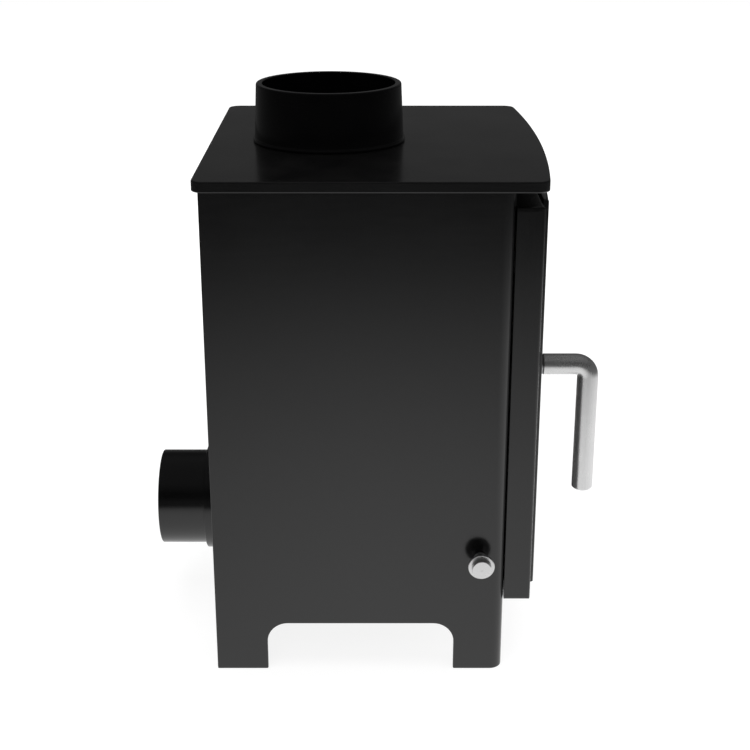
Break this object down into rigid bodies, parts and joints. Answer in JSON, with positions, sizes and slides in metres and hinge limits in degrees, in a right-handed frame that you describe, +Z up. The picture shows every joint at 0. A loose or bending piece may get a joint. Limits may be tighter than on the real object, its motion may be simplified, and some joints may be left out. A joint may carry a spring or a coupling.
{
  "type": "multi-fuel stove",
  "caption": "Room-sealed multi-fuel stove with a glazed hinged door, hanging bar handle, riddling grate, sliding air control, ash pan, top flue collar and rear air spigot.",
  "frame": {"origin": "on the floor under the middle of the body's width and depth", "axes": "+Z up, +Y from the door towards the back where the air spigot is, +X to the right seen from the front"},
  "size_m": [0.3995, 0.439, 0.546],
  "materials": {
    "casing": "satin black stove paint over brushed plate",
    "top": "satin black stove paint, finely brushed",
    "collar": "black stove paint over casting",
    "inlet": "black stove paint over turned steel",
    "door": "satin black stove paint",
    "inner_steel": "heat-darkened steel",
    "fire_brick": "buff pressed refractory board",
    "grate_iron": "sand cast, unpainted",
    "pan_steel": "galvanised sheet",
    "bright_steel": "satin turned steel",
    "plain_steel": "machined steel",
    "fastener": "zinc-plated steel",
    "window": "heat-proof ceramic glass",
    "gasket": "woven glass-fibre tape",
    "rope_seal": "braided glass-fibre rope"
  },
  "bodies": {
    "body": {"top_plate": "top", "left_side_plate": "casing", "right_side_plate": "casing", "front_top_rail": "casing", "front_bottom_rail": "casing", "back_plate": "casing", "base_plate": "inner_steel", "ash_floor": "inner_steel", "port_plate": "inner_steel", "flue_collar": "collar", "collar_bolts": "fastener", "inlet_ring": "inlet", "air_spigot": "inlet", "inlet_box": "inner_steel", "air_risers": "inner_steel", "airwash_channel": "inner_steel", "left_brick": "fire_brick", "right_brick": "fire_brick", "rear_brick": "fire_brick", "baffle": "fire_brick", "grate_ledges": "inner_steel", "grate_frame": "grate_iron", "fuel_guard": "grate_iron", "ash_pan": "pan_steel", "rod_bush": "plain_steel", "hinge_lugs": "casing", "hinge_pins": "plain_steel", "hinge_washers": "plain_steel", "latch_keeper": "plain_steel", "keeper_screws": "fastener", "slide_guides": "inner_steel"},
    "door": {"door_frame": "door", "door_panel": "door", "panel_screws": "fastener", "door_glass": "window", "glass_gasket": "gasket", "glass_clips": "plain_steel", "clip_screws": "fastener", "door_rope": "rope_seal", "handle_bush": "plain_steel"},
    "handle": {"door_handle": "bright_steel", "latch_cam": "plain_steel", "handle_nut": "fastener"},
    "riddling": {"riddling_rod": "plain_steel", "riddling_knob": "bright_steel", "riddling_grate": "grate_iron", "rod_nuts": "fastener"},
    "air_control": {"air_slide": "plain_steel", "air_knob": "bright_steel"}
  },
  "joints": [
    {"name": "door_hinge", "type": "hinge", "parent": "body", "child": "door", "pos_m": [0.169, -0.158, 0.268], "axis": [0, 0, 1], "range_deg": [0, 110]},
    {"name": "handle_turn", "type": "hinge", "parent": "door", "child": "handle", "pos_m": [-0.139, -0.2, 0.304], "axis": [0, 1, 0], "range_deg": [0, 90]},
    {"name": "riddle_slide", "type": "slide", "parent": "body", "child": "riddling", "axis": [-1, 0, 0], "range_m": [0, 0.015]},
    {"name": "air_slide_travel", "type": "slide", "parent": "body", "child": "air_control", "axis": [1, 0, 0], "range_m": [0, 0.022]}
  ]
}
